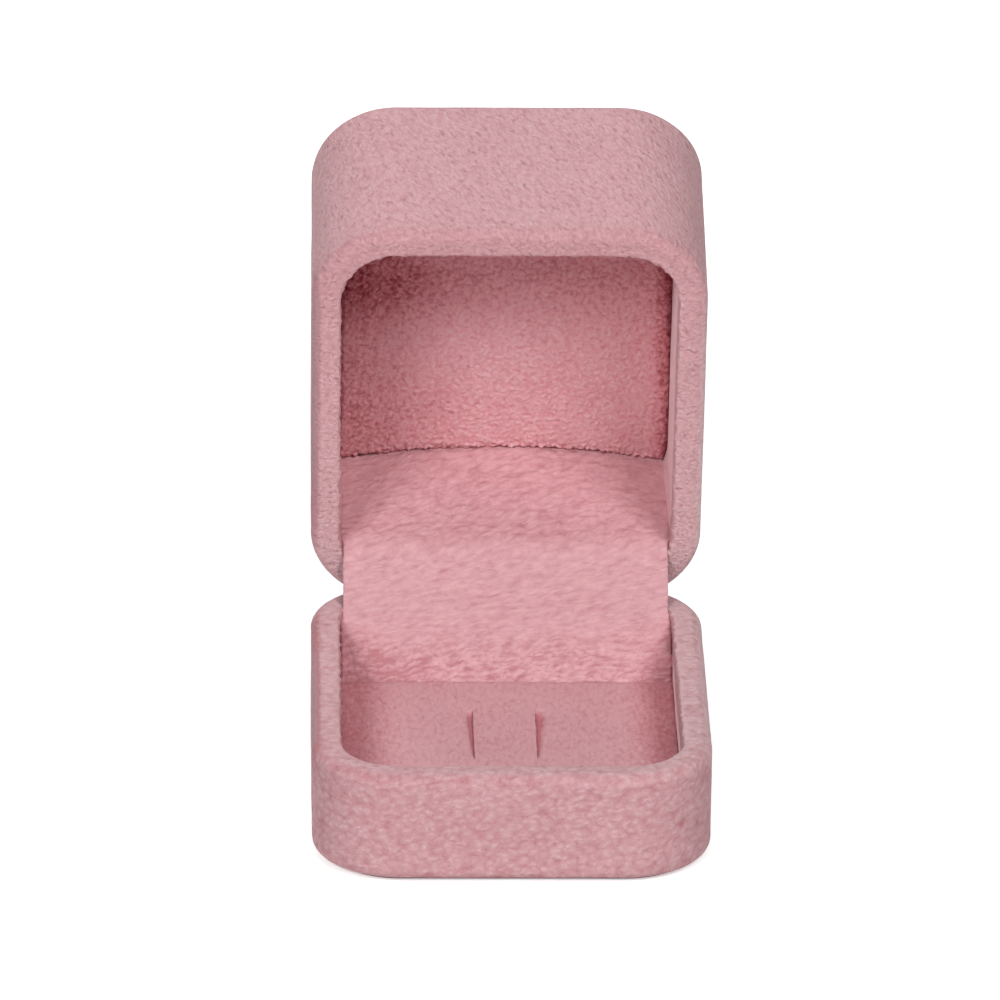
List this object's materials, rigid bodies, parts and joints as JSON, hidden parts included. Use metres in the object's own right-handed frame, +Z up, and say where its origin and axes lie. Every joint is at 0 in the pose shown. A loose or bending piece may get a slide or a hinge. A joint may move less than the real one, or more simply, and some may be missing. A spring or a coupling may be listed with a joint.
{
  "type": "jewelry ring box",
  "caption": "Suede-covered ring box standing open: shallow base with a slit insert pad, deep lid with a plush ceiling, and a fabric flap over its snap hinge.",
  "frame": {"origin": "centre of the base's flat underside, on the surface that the box stands on", "axes": "+X across the box to the right seen from its front, +Y from the front to the hinge, +Z up"},
  "size_m": [0.055, 0.0929, 0.0841],
  "materials": {
    "outer_suede": "matte",
    "lining_suede": "matte",
    "flap_suede": "matte",
    "flap_film": "satin",
    "insert_suede": "matte",
    "plush": "matte",
    "shell_plastic": "matte",
    "grey_card": "matte",
    "foam": "matte",
    "hinge_steel": "satin",
    "spring_steel": "satin",
    "foot_felt": "matte"
  },
  "bodies": {
    "base": {"base_foot_sheet": "foot_felt", "base_shell": "shell_plastic", "base_wrap": "outer_suede", "base_wall_lining": "lining_suede", "insert_foam": "foam", "insert_board": "grey_card", "insert_cover": "insert_suede", "hinge_leaf_base": "hinge_steel", "base_leaf_rivets": "hinge_steel", "snap_spring": "spring_steel", "hinge_pin": "hinge_steel", "hinge_flap_backing": "flap_film", "hinge_flap_suede": "flap_suede"},
    "lid": {"lid_shell": "shell_plastic", "lid_wrap": "outer_suede", "lid_wall_lining": "lining_suede", "ceiling_board": "grey_card", "ceiling_foam": "foam", "ceiling_plush": "plush", "hinge_leaf_lid": "hinge_steel", "lid_leaf_rivets": "hinge_steel"}
  },
  "joints": [
    {"name": "lid_hinge", "type": "hinge", "parent": "base", "child": "lid", "pos_m": [0, 0.0299, 0.0163], "axis": [1, 0, 0], "range_deg": [0, 76], "deforming": ["hinge_flap_suede", "hinge_flap_backing", "snap_spring"]}
  ]
}
